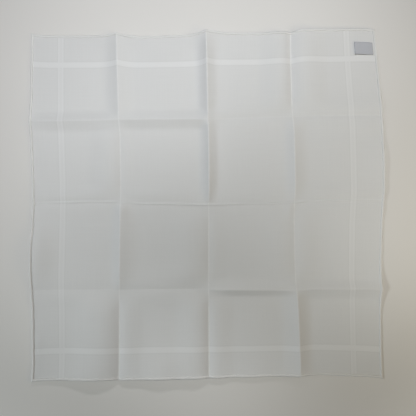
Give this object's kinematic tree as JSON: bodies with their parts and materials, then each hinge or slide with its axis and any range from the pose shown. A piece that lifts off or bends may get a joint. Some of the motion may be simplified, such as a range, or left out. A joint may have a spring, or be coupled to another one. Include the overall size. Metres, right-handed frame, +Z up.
{
  "type": "handkerchief",
  "caption": "Square white cotton handkerchief with rolled hem, woven satin bars and a folded label, opened out flat with its fold creases.",
  "frame": {"origin": "middle of the bounding box's bottom face, on the surface that the cloth lies on", "axes": "+X to the right and +Y to the far hem as the cloth is seen from above, +Z up, out of the cloth"},
  "size_m": [0.4586, 0.4556, 0.0112],
  "materials": {
    "cloth": "fine matt cotton lawn with woven satin bars",
    "label": "pale grey satin ribbon"
  },
  "bodies": {
    "root": {"cloth": "cloth", "label": "label"}
  },
  "joints": []
}
